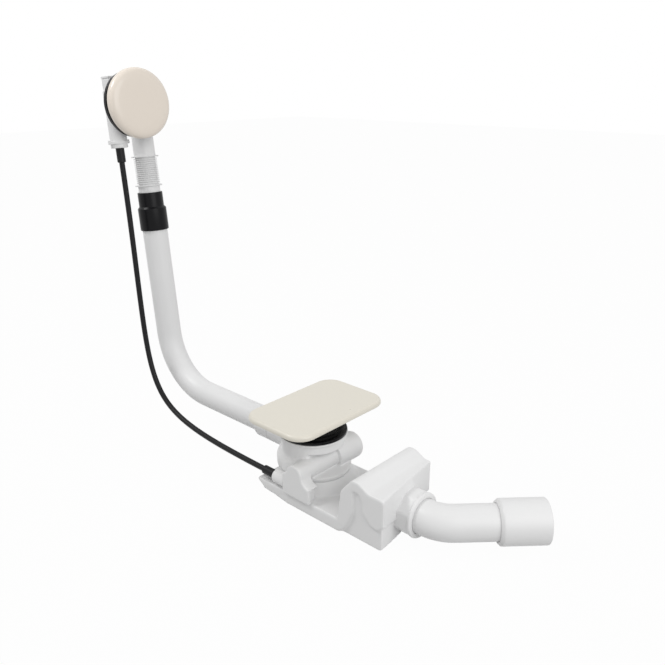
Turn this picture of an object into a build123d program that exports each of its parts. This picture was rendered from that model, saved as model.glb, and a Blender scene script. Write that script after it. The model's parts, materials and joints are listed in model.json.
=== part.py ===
"""Bath waste and overflow with a turning overflow knob and a flat water trap.

Everything is in millimetres. The origin is on the drain's axis, at the top of the drain gasket,
where the underside of the bath sits. X points along the trap to the outlet, Y across the trap,
Z up. The overflow stands at negative X, in the plane Y = 0, and leans back with the end of the bath.

Turning the knob pushes a wire through a sheath. At each end of the wire a toothed rack turns
what it meshes with: the knob's spindle above, and a toothed sector on the lift axle below.
The axle's arm raises the plug's stem, and the drain cover rises with it.
"""
import os
from math import acos, cos, degrees, pi, radians, sin, tan

from build123d import *

# The bath's end wall leans back, and the overflow leans with it
wall_lean = 5.5

# Drain gasket, flange and plug
gasket_od = 82.0
gasket_thickness = 3.5
throat_od = 50.0
throat_wall = 2.0
throat_depth = 15.0
flange_od = 71.0
flange_thickness = 2.4
plug_od = 47.0
plug_thickness = 5.4
plug_seal_section = 2.2
plug_seal_step = 2.0
seal_rest_z = 0.9
stem_d = 8.0
stem_clearance = 0.3
stem_tip = 3.4
arm_clearance = 0.45
guide_hub_od = 15.0
guide_hub_height = 8.0

# Drain cover, a plate with soft edges
cover_length_x = 97.0
cover_length_y = 150.0
cover_shift_x = 5.5
cover_thickness = 7.0
cover_corner = 22.0
cover_boss_d = 16.0
cover_rest_gap = 12.5

# Drain body: neck, bowl and the cross housing for the lift axle
rim_od = 84.0
rim_thickness = 2.5
neck_od = 76.0
neck_depth = 17.5
neck_left_depth = 27.5
bowl_od = 88.0
bowl_depth = 50.0
bowl_edge = 9.0
core_od = 49.0
body_wall = 3.0
cross_x = 21.0
cross_z = -33.8
cross_near_y = -55.0
cross_step_y = 9.0
cross_far_y = 51.0
cross_near_r = 12.0
cross_far_r = 16.8
boss_depth = 16.0
boss_left_x = 2.0
boss_right_x = 44.3
boss_shoulder_z = -44.3
boss_plate = 6.0
union_x = 8.0
union_od = 80.0
union_height = 5.0
inlet_collar_height = 15.0
body_spigot_od = 56.0
neck_room_depth = 9.0
overflow_spigot_length = 16.0
body_seal_drop = 6.0
bushing_tail_r = 5.0

# Motion: one wire moves both racks, so the tooth sizes set the turns
knob_turn = 60.0
tooth_module = 1.25
pinion_teeth = 12
sector_teeth = 24
pressure_angle = radians(20)
flank_points = 5
backlash = 0.3
rack_teeth = 6
rack_depth = 7.4
wire_depth = 3.4
arm_reach = cross_x
wire_d = 2.0

# Lift axle and lever
axle_d = 6.0
axle_clearance = 0.05
hub_od = 13.0
sector_width = 7.0
arm_width = 9.0
oring_section = 2.0

# Cable between the two ends
cable_d = 7.0
ferrule_d = 10.6
lower_ferrule_end_x = -8.0
lower_wire_end_x = 20.0
upper_ferrule_low = -70.0
upper_ferrule_top = -44.0
upper_wire_end = 8.0
route_share = 0.48
cable_low_y = -46.0
bushing_od = 17.0
bushing_left_x = -18.0
lower_ferrule_left_x = -38.0
sheath_overlap = 10.0
wire_gap = 0.5

# Overflow pipe
pipe_od = 33.2
pipe_wall = 1.8
pipe_axis_z = -19.7
pipe_corner_x = -277.2
pipe_bend = 80.0
pipe_top = 246.0
pipe_end_x = -48.0
socket_od = 41.0
socket_end_x = -62.0
overflow_nut_length = 23.0
overflow_nut_od = 41.0
thread_depth = 2.2
push_clearance = 0.1

# Rubber sleeve and ribbed adapter above the pipe, measured up the leaning axis
sleeve_low = 218.0
sleeve_step = 248.5
sleeve_high = 268.5
sleeve_low_od = 37.6
sleeve_high_od = 32.8
adapter_od = 28.4
adapter_wall = 1.8
rib_od = 30.2
rib_count = 13
ring_od = 34.0
ring_low = 277.5
ring_high = 314.0
ring_thickness = 1.2
ring_ears = 2
ring_ear = 2.0
spigot_od = 28.0

# Overflow head. Its own frame: x across, y up the leaning wall, z out of the wall
head_x = -279.1
head_y = -22.0
head_z = 362.3
knob_od = 85.4
knob_thickness = 12.0
knob_edge = 4.5
knob_wall = 2.5
wall_gap = 6.0
head_gasket_od = 81.0
head_gasket_thickness = 5.0
housing_od = 62.0
housing_depth = 16.0
housing_flange_od = 76.0
housing_wall = 2.6
channel_offset = -19.3
channel_setback = 25.0
channel_od = 21.4
channel_wall = 3.0
channel_top = 34.5
channel_low = -52.0
channel_square_low = 18.0
channel_head_x = 14.0
channel_head_s = 16.4
cap_thickness = 2.5
collar_od = 24.6
collar_up = -45.0
collar_height = 4.0
spindle_d = 9.0
spindle_tail = 8.0
spindle_boss_r = 12.5
spindle_seal_s = -17.0
knob_hub_od = 16.0
wall_thickness = 3.5
screw_length = 20.0
down_tube_r = 17.0
spigot_step_up = -33.0
spigot_wall = 2.0
nipple_height = 9.0
clamp_od = 66.0
clamp_thickness = 3.0
screw_d = 5.0
screw_inset = 7.0

# Trap: an S shaped water way of one width, with the block between its bends set back
trap_half_width = 51.0
trap_wall = 3.2
trap_edge = 1.2
trap_floor_z = -63.5
trap_base_z = -79.5
tray_left_x = -45.0
riser_x = 89.3
hump_top_z = -6.8
leg_right_x = 149.0
outlet_skew = 7.3
ramp_end_x = 146.0
ramp_far_y = 9.0
ramp_near_z = -38.0
block_setback = 3.0
foot_inset = 3.0
slot_top_z = -20.0
inlet_collar_od = 78.0
inlet_foot_od = 99.0
inlet_bore = 52.0

# Outlet: spigot, nut, bend and end socket
outlet_z = -49.3
outlet_face_x = 138.0
nut_wall = 3.8
outlet_nut_front = 164.0
outlet_nut_length = 17.6
nut_grips = 8
nut_flat = 0.94
nut_rim = 3.6
nut_lip = 3.3
lip_depth = 2.0
lip_width = 4.0
end_socket_depth = 22.0
outlet_spigot_wall = 2.0
tube_od = 40.0
tube_wall = 2.0
bend_radius = 40.0
bend_corner_x = 184.0
bend_angle = 45.0
end_start = 61.0
end_length = 57.0
end_socket_wall = 5.0
end_wall = 2.2

# What follows from the sizes above
rim_top_z = -gasket_thickness
pinion_r = tooth_module * pinion_teeth / 2
sector_r = tooth_module * sector_teeth / 2
wire_travel = pinion_r * radians(knob_turn)
axle_turn = degrees(wire_travel / sector_r)
lift = 2 * arm_reach * sin(radians(axle_turn / 2))
low_rack_z = cross_z - sector_r
cover_low_z = cover_rest_gap + lift
plug_low_z = seal_rest_z - plug_seal_step + lift
plug_top_z = plug_low_z + plug_thickness
cover_boss_low = plug_top_z - plug_thickness / 2
cable_low_z = low_rack_z - wire_depth
seat_z = trap_floor_z + inlet_collar_height
liner_r = throat_od / 2
overflow_spigot_r = pipe_od / 2 + push_clearance + body_wall / 2
rack_end_x = cross_x + rack_teeth * pi * tooth_module / 2 + wire_travel / 2
screw_pitch = housing_od - 2 * screw_inset
outlet_spigot_od = tube_od + 2 * outlet_spigot_wall
outlet_nut_od = outlet_spigot_od + 2 * nut_wall
end_od = tube_od + 2 * end_socket_wall

lean = radians(wall_lean)
wall_out = Vector(cos(lean), 0, sin(lean))
wall_up = Vector(-sin(lean), 0, cos(lean))
head_plane = Plane(origin=(head_x, head_y, head_z), x_dir=(0, 1, 0), z_dir=wall_out)
pipe_setback = (Vector(head_x, 0, head_z) - Vector(pipe_corner_x, 0, pipe_axis_z)).dot(wall_out)
pinion_start = knob_turn / 2
ring_top = ring_high + ring_thickness / 2
head_rise = (Vector(head_x, 0, head_z) - Vector(pipe_corner_x, 0, pipe_axis_z)).dot(wall_up)
spigot_low_up = ring_top - head_rise
pipe_plane = Plane(origin=(pipe_corner_x, 0, pipe_axis_z), x_dir=(0, 1, 0), z_dir=wall_up)


def disc(radius, z0, z1):
    """A round solid on the Z axis, from z0 up to z1."""
    return Pos(0, 0, z0) * Cylinder(radius, z1 - z0, align=(Align.CENTER, Align.CENTER, Align.MIN))


def ring(outer, inner, z0, z1):
    """A plain ring on the Z axis."""
    return disc(outer, z0, z1) - disc(inner, z0 - 1, z1 + 1)


def block(x0, x1, y0, y1, z0, z1):
    """A box between six planes."""
    centre = Pos((x0 + x1) / 2, (y0 + y1) / 2, (z0 + z1) / 2)
    return centre * Box(x1 - x0, y1 - y0, z1 - z0)


def turned(points, plane=Plane.XZ):
    """A solid of revolution about Z from an outline of (radius, height) points."""
    with BuildPart() as part:
        with BuildSketch(plane):
            with BuildLine():
                Polyline(*points, close=True)
            make_face()
        revolve(axis=Axis.Z)
    return part.part


def torus(radius, section, z):
    """An O-ring on the Z axis."""
    return Pos(0, 0, z) * Torus(radius, section / 2)


def gear_face(teeth, shrink=backlash):
    """The outline of a spur gear with involute flanks, thinned for backlash, with a tooth at +X."""
    pitch_r = tooth_module * teeth / 2
    base_r = pitch_r * cos(pressure_angle)
    root_r = pitch_r - 1.25 * tooth_module
    tip_r = pitch_r + 0.85 * tooth_module
    start_r = max(base_r, root_r) + 0.02
    half = (pi * tooth_module / 2 - shrink) / 2 / pitch_r + involute(pressure_angle)
    flank = [(root_r, half - involute(acos(base_r / start_r)))]
    for i in range(flank_points):
        radius = start_r + (tip_r - start_r) * i / (flank_points - 1)
        flank.append((radius, half - involute(acos(base_r / radius))))
    points = []
    for i in range(teeth):
        middle = 2 * pi * i / teeth
        for radius, angle in flank:
            points.append((radius * cos(middle - angle), radius * sin(middle - angle)))
        for radius, angle in reversed(flank):
            points.append((radius * cos(middle + angle), radius * sin(middle + angle)))
    return make_face(Polyline(*points, close=True))


def involute(angle):
    """How far an involute has curled away where its pressure angle has this value."""
    return tan(angle) - angle


def rack_face(count, depth):
    """The outline of a rack along X with its pitch line on Y = 0 and its teeth towards +Y."""
    pitch = pi * tooth_module
    slope = tan(pressure_angle)
    add = 0.85 * tooth_module
    ded = 1.25 * tooth_module
    half = (pitch / 2 - backlash) / 2
    points = [(-count * pitch / 2, -depth), (-count * pitch / 2, -ded)]
    for i in range(count):
        middle = (i - (count - 1) / 2) * pitch
        points.append((middle - half - ded * slope, -ded))
        points.append((middle - half + add * slope, add))
        points.append((middle + half - add * slope, add))
        points.append((middle + half + ded * slope, -ded))
    points += [(count * pitch / 2, -ded), (count * pitch / 2, -depth)]
    return make_face(Polyline(*points, close=True))


def drain_cover():
    top = cover_low_z + cover_thickness
    plate = block(-cover_length_x / 2, cover_length_x / 2, -cover_length_y / 2, cover_length_y / 2,
                  cover_low_z, top)
    plate = fillet(plate.edges().filter_by(Axis.Z), cover_corner)
    plate = fillet(plate.faces().sort_by(Axis.Z)[-1].edges(), cover_thickness * 0.55)
    plate = fillet(plate.faces().sort_by(Axis.Z)[0].edges(), cover_thickness * 0.3)
    boss = disc(cover_boss_d / 2, cover_boss_low, cover_low_z)
    return Pos(cover_shift_x, 0, 0) * plate + boss


def plug():
    top = plug_top_z
    low = plug_low_z
    r = plug_od / 2
    groove_z = low + plug_seal_step
    body = turned([(0, low), (r - plug_seal_step, low), (r, groove_z), (r, top), (0, top)])
    socket = disc(cover_boss_d / 2 + push_clearance, cover_boss_low, top + 1)
    groove = ring(r + 1, r - plug_seal_section / 2, groove_z, groove_z + plug_seal_section)
    stem_low = cross_z + arm_reach * sin(radians(axle_turn / 2)) + arm_width / 2 + arm_clearance
    stem = disc(stem_d / 2, stem_low, low + 0.5)
    stem = fillet(stem.edges().filter_by(GeomType.CIRCLE).sort_by(Axis.Z)[:1], stem_tip)
    return body - socket - groove + stem


def plug_seal():
    low = plug_low_z + plug_seal_step
    inner = plug_od / 2 - plug_seal_section / 2
    return ring(inner + plug_seal_section, inner, low, low + plug_seal_section)


def drain_flange():
    throat_r = throat_od / 2
    bore = throat_r - throat_wall
    seat = flange_od / 2 - 4
    body = turned([(bore, -throat_depth), (throat_r, -throat_depth), (throat_r, 0), (flange_od / 2, 0),
                   (flange_od / 2 - 1, flange_thickness), (seat, flange_thickness), (bore + 1, 0.4),
                   (bore, -1.2)])
    hub_top = -throat_depth + guide_hub_height
    hub = ring(guide_hub_od / 2, stem_d / 2 + stem_clearance, -throat_depth, hub_top)
    arms = Part()
    for i in range(4):
        arm = block(stem_d / 2 + 1.5, bore + 0.5, -1.5, 1.5, -throat_depth, hub_top - 2)
        arms += Rot(0, 0, 45 + 90 * i) * arm
    return body + (arms - disc(stem_d / 2 + stem_clearance, -throat_depth - 1, 5)) + hub


def drain_gasket():
    body = ring(gasket_od / 2, throat_od / 2 + 0.15, -gasket_thickness, 0)
    return chamfer(body.edges().filter_by(GeomType.CIRCLE).sort_by(SortBy.LENGTH)[-2:], 0.6)


def cross_plane(y):
    """A plane across the lift axle at the given y, its z pointing to +Y."""
    return Plane(origin=(cross_x, y, cross_z), x_dir=(-1, 0, 0), z_dir=(0, 1, 0))


def along_axle(radius, y0, y1):
    """A cylinder on the lift axle's line."""
    return extrude(cross_plane(y0) * Circle(radius), y1 - y0)


def mechanism_boss():
    """The arched housing of the lower rack, on the near side of the body."""
    r = cross_near_r
    with BuildPart() as part:
        with BuildSketch(Plane(origin=(0, cross_near_y, 0), x_dir=(1, 0, 0), z_dir=(0, -1, 0))):
            with BuildLine():
                start = (cross_x - r, cross_z)
                top = (cross_x, cross_z + r)
                end = (cross_x + r, cross_z)
                ThreePointArc(start, (cross_x - r * cos(pi / 4), cross_z + r * sin(pi / 4)), top)
                ThreePointArc(top, (cross_x + r * cos(pi / 4), cross_z + r * sin(pi / 4)), end)
                corner = (boss_right_x, boss_shoulder_z)
                middle = (cross_x + r + 3.6, boss_shoulder_z + 4.2)
                ThreePointArc(end, middle, corner)
                Polyline(corner, (boss_right_x, trap_floor_z), (boss_left_x, trap_floor_z),
                         (boss_left_x, cross_z - 4), start)
            make_face()
        extrude(amount=-boss_depth)
    behind = block(rack_end_x + 0.9 + body_wall, boss_right_x + 1, cross_near_y + boss_plate,
                   cross_near_y + boss_depth + 1, trap_floor_z - 1, boss_shoulder_z - 2.5)
    return part.part - behind


def along_x(radius, x0, x1, y, z):
    """A cylinder along X between two places."""
    return extrude(Plane(origin=(x0, y, z), x_dir=(0, 1, 0), z_dir=(1, 0, 0)) * Circle(radius), x1 - x0)


def inlet_cone(grow):
    """The flared foot of the trap's inlet collar, that carries the body."""
    top = inlet_collar_od / 2 + grow
    foot = inlet_foot_od / 2 + grow
    cone = turned([(0, trap_floor_z - 1), (foot, trap_floor_z - 1), (foot, trap_floor_z), (top, seat_z),
                   (0, seat_z)])
    return Pos(union_x, 0, 0) * cone


def body_outside():
    rim = disc(rim_od / 2, rim_top_z - rim_thickness, rim_top_z)
    neck = disc(neck_od / 2, -neck_depth, rim_top_z - rim_thickness)
    left = block(-99, cross_x, -99, 99, -99, 99)
    left_neck = disc(neck_od / 2, -neck_left_depth, -neck_depth) & left
    bowl = disc(bowl_od / 2, -bowl_depth, -neck_left_depth + 2)
    bowl = fillet(bowl.edges().filter_by(GeomType.CIRCLE), bowl_edge) & left
    core = disc(core_od / 2, seat_z, -neck_depth)
    spigot = Pos(union_x, 0, 0) * disc(body_spigot_od / 2, trap_floor_z + 1, seat_z)
    collar = Pos(union_x, 0, 0) * disc(union_od / 2, seat_z, seat_z + union_height)
    near = along_axle(cross_near_r, cross_near_y + 1, cross_step_y)
    far = along_axle(cross_far_r, cross_step_y, cross_far_y)
    far = fillet(far.edges().filter_by(GeomType.CIRCLE).sort_by(Axis.Y)[-1:], 4)
    inlet = along_x(socket_od / 2, socket_end_x, -20, 0, pipe_axis_z)
    inlet -= disc(rim_od / 2 + 0.4, rim_top_z - rim_thickness, 10)
    inlet += along_x(overflow_spigot_r, socket_end_x - overflow_spigot_length, -20, 0, pipe_axis_z)
    inlet -= disc(rim_od / 2, rim_top_z, 10)
    body = rim + neck + left_neck + bowl + core + collar + near + far + inlet - inlet_cone(push_clearance)
    body -= along_x(bushing_od / 2 + push_clearance, -60, boss_left_x, cable_low_y, cable_low_z)
    return body + spigot + mechanism_boss()


def body_rooms():
    throat = disc(throat_od / 2 + 0.15, -throat_depth - 0.5, 1)
    chamber = disc(core_od / 2 - body_wall, seat_z + 2, -throat_depth - 0.5)
    chamber += Pos(union_x, 0, 0) * disc(body_spigot_od / 2 - body_wall, trap_floor_z, seat_z + 2.5)
    chamber += along_axle(hub_od / 2 + 1, -7, 7)
    side = block(-99, cross_x - cross_near_r, -99, 99, -99, 99)
    neck_room = disc(neck_od / 2 - body_wall, -neck_left_depth - 2, -neck_room_depth)
    bowl_room = disc(bowl_od / 2 - body_wall, -bowl_depth + body_wall, -neck_left_depth - 1)
    bowl_room = fillet(bowl_room.edges().filter_by(GeomType.CIRCLE), bowl_edge - body_wall)
    liner = disc(throat_od / 2 + 0.15 + throat_wall, -throat_depth - 0.5, 0)
    shelf = along_x(bushing_od / 2 + body_wall, -60, boss_left_x, cable_low_y, cable_low_z)
    left_room = ((neck_room + bowl_room) & side) - liner - shelf - mechanism_boss()
    bore = along_x(pipe_od / 2 - pipe_wall, pipe_end_x - 1, -liner_r, 0, pipe_axis_z) - liner
    socket = along_x(pipe_od / 2 + push_clearance, -99, pipe_end_x, 0, pipe_axis_z)
    axle_bore = along_axle(axle_d / 2 + axle_clearance, cross_near_y + 3, cross_far_y - 3)
    far_room = along_axle(cross_far_r - body_wall, cross_step_y + 2, cross_far_y - 8)
    half = sector_width / 2 + 0.5
    y0 = cable_low_y - half
    y1 = cable_low_y + half
    rack_room = block(boss_left_x + body_wall, rack_end_x + 0.9, y0, y1,
                      low_rack_z - rack_depth - 0.4, low_rack_z + 2)
    swing = block(cross_x - 12.5, cross_x + 12.5, -99, 99, -99, cross_z - 4.7)
    sector_room = (along_axle(sector_r + 2.2, y0, y1) & swing) + along_axle(hub_od / 2 + 1.9, y0, y1)
    oring_y = y1 + 3
    oring_room = along_axle(axle_d / 2 + oring_section, oring_y, oring_y + oring_section)
    wire = along_x(bushing_tail_r + push_clearance, boss_left_x - 1, boss_left_x + 4, cable_low_y,
                   cable_low_z)
    groove_z = seat_z - body_seal_drop
    groove = ring(body_spigot_od / 2 + 1, body_spigot_od / 2 - oring_section, groove_z - oring_section / 2,
                  groove_z + oring_section / 2)
    rooms = throat + chamber + left_room + bore + socket + axle_bore + far_room + Pos(union_x, 0, 0) * groove
    return rooms + rack_room + sector_room + oring_room + wire


def drain_body():
    return body_outside() - body_rooms()


def lift_axle():
    return along_axle(axle_d / 2, cross_near_y + 3.2, cross_far_y - 3.2)


def axle_seal():
    plane = cross_plane(cable_low_y + 7 + oring_section / 2)
    return plane * Torus(axle_d / 2 + oring_section / 2, oring_section / 2 - 0.01)


def gear_sector():
    """The toothed sector on the axle. At half lift a tooth looks straight down at the rack."""
    y0 = cable_low_y - sector_width / 2
    flat = Plane(origin=(cross_x, y0, cross_z), x_dir=(0, 0, -1), z_dir=(0, 1, 0))
    teeth = extrude(flat * (Rot(0, 0, axle_turn / 2) * gear_face(sector_teeth)), sector_width)
    half = axle_turn / 2 + 14
    reach = sector_r + 4
    wedge = make_face(Polyline((0, 0), (reach * 1.3 * cos(radians(half)), reach * 1.3 * sin(radians(half))),
                               (reach * 1.3 * cos(radians(half)), -reach * 1.3 * sin(radians(half))),
                               close=True))
    teeth = teeth & extrude(flat * (Rot(0, 0, axle_turn / 2) * wedge), sector_width)
    hub = along_axle(hub_od / 2, y0, y0 + sector_width)
    return teeth + hub - along_axle(axle_d / 2 + 0.02, y0 - 1, y0 + sector_width + 1)


def lift_arm():
    """The arm in the body's chamber. It stands at its highest when the plug is open."""
    tilt = axle_turn / 2
    with BuildPart() as part:
        with BuildSketch(Plane(origin=(cross_x, -4, cross_z), x_dir=(-1, 0, 0), z_dir=(0, 1, 0))):
            SlotCenterToCenter(arm_reach, arm_width, rotation=0)
        extrude(amount=8)
    arm = Pos(-arm_reach / 2, 0, 0) * part.part
    hub = along_axle(hub_od / 2, -6, 6)
    whole = arm + hub
    turn = Pos(cross_x, 0, cross_z) * Rot(0, tilt, 0) * Pos(-cross_x, 0, -cross_z)
    return turn * whole - along_axle(axle_d / 2 + 0.02, -9, 9)


def drain_rack():
    """The lower rack. Its teeth face up, and it moves to +X as the plug closes."""
    y0 = cable_low_y - sector_width / 2
    plane = Plane(origin=(cross_x - wire_travel / 2, y0 + sector_width, low_rack_z),
                  x_dir=(1, 0, 0), z_dir=(0, -1, 0))
    body = extrude(plane * rack_face(rack_teeth, rack_depth), sector_width)
    return body - along_x(wire_d / 2, -99, lower_wire_end_x, cable_low_y, cable_low_z)


def lower_wire():
    """The end of the wire that shows between the lower ferrule and the rack, fixed in the rack."""
    x0 = lower_ferrule_left_x + sheath_overlap + wire_gap
    return along_x(wire_d / 2, x0, lower_wire_end_x, cable_low_y, cable_low_z)


def cable_bushing():
    """The sleeve that holds the ferrule in the side of the mechanism's boss."""
    sleeve = along_x(bushing_od / 2, bushing_left_x, boss_left_x, cable_low_y, cable_low_z)
    tail = along_x(bushing_tail_r, boss_left_x, boss_left_x + body_wall, cable_low_y, cable_low_z)
    rim = sleeve.edges().filter_by(GeomType.CIRCLE).sort_by(Axis.X)[:1]
    sleeve = fillet(rim, bushing_od / 2 - ferrule_d / 2 - 0.3)
    room = along_x(ferrule_d / 2 + push_clearance, bushing_left_x - 1, lower_ferrule_end_x, cable_low_y,
                   cable_low_z)
    wire = along_x(wire_d / 2 + 0.4, bushing_left_x, boss_left_x + 9, cable_low_y, cable_low_z)
    return sleeve + tail - room - wire


def lower_ferrule():
    tip = along_x(ferrule_d / 2, lower_ferrule_left_x, lower_ferrule_end_x, cable_low_y, cable_low_z)
    tip = chamfer(tip.edges().filter_by(GeomType.CIRCLE).sort_by(Axis.X)[:1], 1.2)
    sheath = along_x(cable_d / 2, lower_ferrule_left_x - 1, lower_ferrule_left_x + sheath_overlap,
                     cable_low_y, cable_low_z)
    wire = along_x(wire_d / 2 + 0.4, lower_ferrule_left_x, boss_left_x, cable_low_y, cable_low_z)
    return tip - sheath - wire


def smooth_route(points):
    """A route of straight runs joined by arcs, each as large as its two runs allow."""
    points = [Vector(*p) for p in points]
    edges = []
    start = points[0]
    for before, corner, after in zip(points, points[1:], points[2:]):
        back = before - corner
        on = after - corner
        reach = route_share * min(back.length, on.length)
        a = corner + back.normalized() * reach
        b = corner + on.normalized() * reach
        half = (180 - back.get_angle(on)) / 2
        if half < 0.05:
            continue
        radius = reach / tan(radians(half))
        bisector = (back.normalized() + on.normalized()).normalized()
        middle = corner + bisector * (radius / cos(radians(half)) - radius)
        edges += [Line(start, a), ThreePointArc(a, middle, b)]
        print(f"cable arc {radius:.0f}, {radius / cable_d:.0f} diameters")
        start = b
    edges.append(Line(start, points[-1]))
    return Wire([part.edge() for part in edges])


def cable_points():
    """The sheath's route, from inside the upper ferrule to inside the lower one."""
    top = head_plane.from_local_coords((channel_offset, upper_ferrule_low + sheath_overlap, -channel_setback))
    out = head_plane.from_local_coords((channel_offset, upper_ferrule_low - 2, -channel_setback))
    return [top, out, (-294.5, -41.8, 235), (-283, -43.2, 110), (-271.5, -44.8, -53.5),
            (-100, cable_low_y, -56.2), (-62, cable_low_y, cable_low_z),
            (lower_ferrule_left_x + sheath_overlap, cable_low_y, cable_low_z)]


def cable_sheath():
    route = smooth_route(cable_points())
    print(f"cable length {route.length:.0f}")
    start = Plane(origin=route @ 0, z_dir=route % 0)
    return sweep(start * Circle(cable_d / 2), path=route)


def outline(corners):
    """A closed outline of (x, z, radius) corners with round arcs, drawn in the XZ plane."""
    count = len(corners)
    ends = []
    for i in range(count):
        x, z, radius = corners[i]
        here = Vector(x, z)
        back = Vector(*corners[i - 1][:2]) - here
        on = Vector(*corners[(i + 1) % count][:2]) - here
        half = (180 - back.get_angle(on)) / 2
        reach = radius * tan(radians(half))
        if radius == 0 or half < 0.5:
            ends.append((here, None, here))
            continue
        bisector = (back.normalized() + on.normalized()).normalized()
        middle = here + bisector * (radius / cos(radians(half)) - radius)
        ends.append((here + back.normalized() * reach, middle, here + on.normalized() * reach))
    edges = []
    for i in range(count):
        a, middle, b = ends[i]
        if middle is not None:
            edges.append(ThreePointArc(a, middle, b))
        following = ends[(i + 1) % count][0]
        if (following - b).length > 0.01:
            edges.append(Line(b, following))
    return make_face(edges)


def across(face, y0, y1):
    """A solid between two planes of constant y from a face drawn with (x, z)."""
    return extrude(Plane(origin=(0, y1, 0), x_dir=(1, 0, 0), z_dir=(0, -1, 0)) * face, y1 - y0)


def water_way():
    """The side view of the trap: tray, riser, weir and falling leg, with its round bends."""
    tray = [(tray_left_x, trap_floor_z, 0), (tray_left_x, trap_floor_z - 3.5, 0),
            (tray_left_x + 9, trap_floor_z - 9.2, 0), (tray_left_x + 10, trap_floor_z - 11.7, 0),
            (tray_left_x + 28, trap_floor_z - 12.8, 10), (4, trap_base_z, 10)]
    up = [(riser_x - 1, trap_base_z, 8), (riser_x + 9, -69, 14), (riser_x + 18.7, -47, 16)]
    slot = [(riser_x + 17, slot_top_z, 3.2), (riser_x + 25, slot_top_z - 0.5, 4), (riser_x + 30.5, -30, 12),
            (riser_x + 32.5, -43, 9), (riser_x + 42, -52.3, 8), (riser_x + 52, -53.8, 5)]
    leg = [(leg_right_x, -47.5, 5.5), (leg_right_x, hump_top_z - 7.5, 4)]
    hump = [(riser_x + 39, hump_top_z - 7.5, 6), (riser_x + 25, hump_top_z, 8),
            (riser_x + 16, hump_top_z, 7), (riser_x, hump_top_z - 19, 12), (riser_x - 5, trap_floor_z, 2)]
    return outline(tray + up + slot + leg + hump)


def skew_cut(gap):
    """What lies beyond the trap's slanted right face."""
    x0 = leg_right_x - gap
    y1 = trap_half_width
    far = leg_right_x - 2 * y1 * tan(radians(outlet_skew)) - gap
    face = Polyline((x0, -y1), (x0 + 60, -y1), (x0 + 60, y1 + 1), (far, y1 + 1), (far, y1), close=True)
    return Pos(0, 0, -100) * extrude(make_face(face), 120)


def outlet_ramp():
    """The sloping web from the falling leg's top edge down to the outlet spigot."""
    x0 = leg_right_x - trap_half_width * tan(radians(outlet_skew)) - 1
    flank = Plane(origin=(x0, 0, 0), x_dir=(0, 1, 0), z_dir=(1, 0, 0)).rotated((0, 0, outlet_skew))
    near = trap_half_width - 1.5
    top = hump_top_z - 8
    r = outlet_spigot_od / 2
    wide = make_face(Polyline((-near, top), (ramp_far_y, top), (r * 0.8, outlet_z + r * 0.6),
                              (-r, outlet_z + r * 0.45), (-near, ramp_near_z), close=True))
    end = Plane(origin=(ramp_end_x, 0, 0), x_dir=(0, 1, 0), z_dir=(1, 0, 0))
    crown = outlet_z + r
    narrow = make_face(Polyline((-r * 0.6, crown - 3), (r * 0.4, crown - 2), (r * 0.7, outlet_z + r * 0.6),
                                (-r * 0.85, outlet_z + r * 0.35), (-r * 0.75, outlet_z + r * 0.6), close=True))
    nut_room = along_x(outlet_nut_od / 2 + 0.4, outlet_nut_front - outlet_nut_length - 0.3, outlet_nut_front,
                       0, outlet_z)
    return loft([flank * wide, end * narrow]) - nut_room


def trap_body():
    half = trap_half_width
    side = water_way()
    shell = across(side, -half, half)
    shell = fillet([edge for face in shell.faces().filter_by(Axis.Y) for edge in face.edges()], trap_edge)
    shell = shell - skew_cut(0) + outlet_ramp()
    rear = half - block_setback
    foot_x = leg_right_x - foot_inset
    fill_z = slot_top_z + 5
    foot = outline([(riser_x - 2, trap_base_z + 1, 0), (foot_x, trap_base_z + 1, 4), (foot_x, -40, 0),
                    (riser_x + 32, fill_z, 0), (riser_x + 14, fill_z, 0), (riser_x + 8, -50, 0)])
    shell += across(foot, -rear, rear) - skew_cut(foot_inset)
    cone = inlet_cone(0) & block(-99, 99, -half, half, trap_base_z, 0)
    cone -= block(boss_left_x - 0.2, boss_right_x + 0.2, cross_near_y - 1, cross_near_y + boss_depth + 0.2,
                  trap_floor_z, 0)
    cone -= along_x(bushing_od / 2 + 0.4, -60, boss_left_x, cable_low_y, cable_low_z)
    shell += cone
    spigot_start = riser_x + 38
    shell += along_x(outlet_spigot_od / 2, spigot_start, outlet_nut_front - 8, 0, outlet_z)

    inside = offset(side, -trap_wall, kind=Kind.INTERSECTION)
    rooms = across(inside, -half + trap_wall, half - trap_wall) - skew_cut(trap_wall)
    leg_x1 = leg_right_x - outlet_skew * 2 - trap_wall
    rooms += along_x(tube_od / 2 - tube_wall, riser_x + 36, outlet_nut_front, 0, outlet_z)
    rooms += block(riser_x + 40, leg_x1, -18, 18, outlet_z, -40)
    rooms += Pos(union_x, 0, 0) * disc(body_spigot_od / 2 + push_clearance, trap_floor_z + 0.5, seat_z + 1)
    rooms += Pos(union_x, 0, 0) * disc(inlet_bore / 2, trap_floor_z - trap_wall - 1, trap_floor_z + 1)
    return shell - rooms


def body_seal():
    """The O-ring between the body's spigot and the trap's collar."""
    r = (body_spigot_od - oring_section) / 2
    return Pos(union_x, 0, 0) * torus(r, oring_section - 0.02, seat_z - body_seal_drop)


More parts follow.
